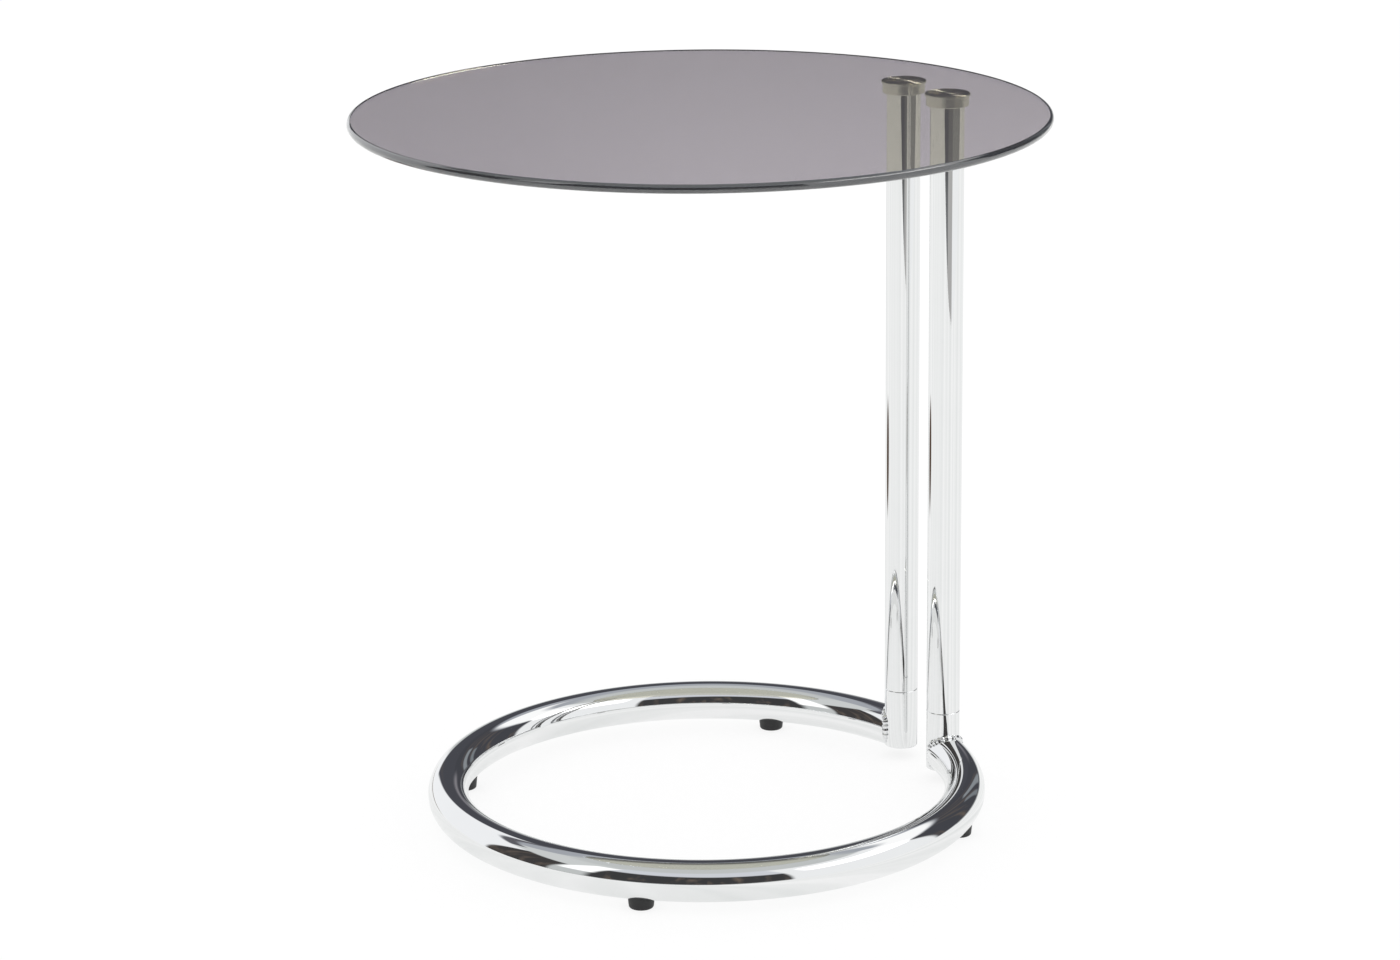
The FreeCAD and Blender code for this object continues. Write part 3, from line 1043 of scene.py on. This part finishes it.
def mirrored_floor(tree, where):
    """What the metal mirrors of the floor, all painted reflection: soft bands of light, a darker stretch
    straight ahead, and a brown patch to the left.
    """
    x, y, _ = separate(tree, vector_calc(tree, "SUBTRACT", where, (ring_radius, 0.0, 0.0)))
    bearing = calc(tree, "DEGREES", calc(tree, "ARCTAN2", x, y))
    bearing = calc(tree, "SUBTRACT", bearing, math.degrees(camera_bearing))
    bands = noise_along(tree, calc(tree, "MULTIPLY", bearing, floor_band_scale), 3.0)
    bands = mapped(tree, bands, *floor_band_span)
    colour = blend_colour(tree, bands, floor_band_dark, floor_band_light)
    turn = calc(tree, "ABSOLUTE", turned_within(tree, bearing))
    ahead = mapped(tree, calc(tree, "SUBTRACT", floor_ahead_reach, turn), 0.0, floor_ahead_fade)
    colour = blend_colour(tree, ahead, colour, floor_ahead)

    off = turned_within(tree, calc(tree, "SUBTRACT", bearing, brown_bearing))
    beyond = calc(tree, "SUBTRACT", length_of(tree, combine(tree, x, y, 0.0)), brown_distance)
    across = calc(tree, "POWER", calc(tree, "DIVIDE", off, brown_half_width), 2.0)
    along = calc(tree, "POWER", calc(tree, "DIVIDE", beyond, brown_half_depth), 2.0)
    patch = mapped(tree, calc(tree, "ADD", across, along), *brown_edge_span)
    return blend_colour(tree, patch, colour, painted_brown_reflection), patch


def studio_floor():
    """Pale sweep whose front edge lies on the camera's side of the table. From below it is clear."""
    bearing = camera_bearing + math.radians(floor_front_bearing)
    front = Vector((math.sin(bearing), math.cos(bearing), 0.0))
    sidewards = Vector((front.y, -front.x, 0.0)) * floor_half_width
    corners = [
        front * -floor_back - sidewards,
        front * -floor_back + sidewards,
        front * floor_front + sidewards,
        front * floor_front - sidewards,
    ]
    mesh = bpy.data.meshes.new("floor")
    mesh.from_pydata(corners, [], [(0, 1, 2, 3)])
    floor = new_piece("floor", mesh)
    material, tree, shader = new_material("pale_floor", Roughness=1.0, Specular_IOR_Level=0.0)
    where = add(tree, "ShaderNodeTexCoord").outputs["Object"]
    mottle = noise(tree, where, floor_mottle_scale, 2.0)
    path = add(tree, "ShaderNodeLightPath").outputs
    glow = calc(tree, "MULTIPLY", calc(tree, "SUBTRACT", 1.0, path["Is Diffuse Ray"]), floor_glow)
    behind_glass = calc(tree, "GREATER_THAN", path["Transmission Depth"], half_bounce)
    mirrored = calc(tree, "GREATER_THAN", path["Glossy Depth"], half_bounce)
    plain = blend_colour(tree, behind_glass, white, floor_behind_glass)
    # Mirrored rays see painted reflections on the floor: bands of light, a darker stretch ahead and a brown
    # patch
    bands, patch = mirrored_floor(tree, where)
    paint = blend_colour(tree, mottle, floor_dark, floor_light)
    paint = blend_colour(tree, calc(tree, "MULTIPLY", mirrored, patch), paint, painted_brown_reflection)
    feed(tree, shader["Base Color"], paint)
    feed(tree, shader["Emission Color"], blend_colour(tree, mirrored, plain, bands))
    feed(tree, shader["Emission Strength"], glow)
    from_below = add(tree, "ShaderNodeNewGeometry").outputs["Backfacing"]
    feed(tree, shader["Alpha"], calc(tree, "SUBTRACT", 1.0, from_below))
    material.cycles.emission_sampling = "NONE"
    mesh.materials.append(material)


photo_camera()
studio_world()
studio_floor()

bpy.context.scene.view_settings.view_transform = "Standard"
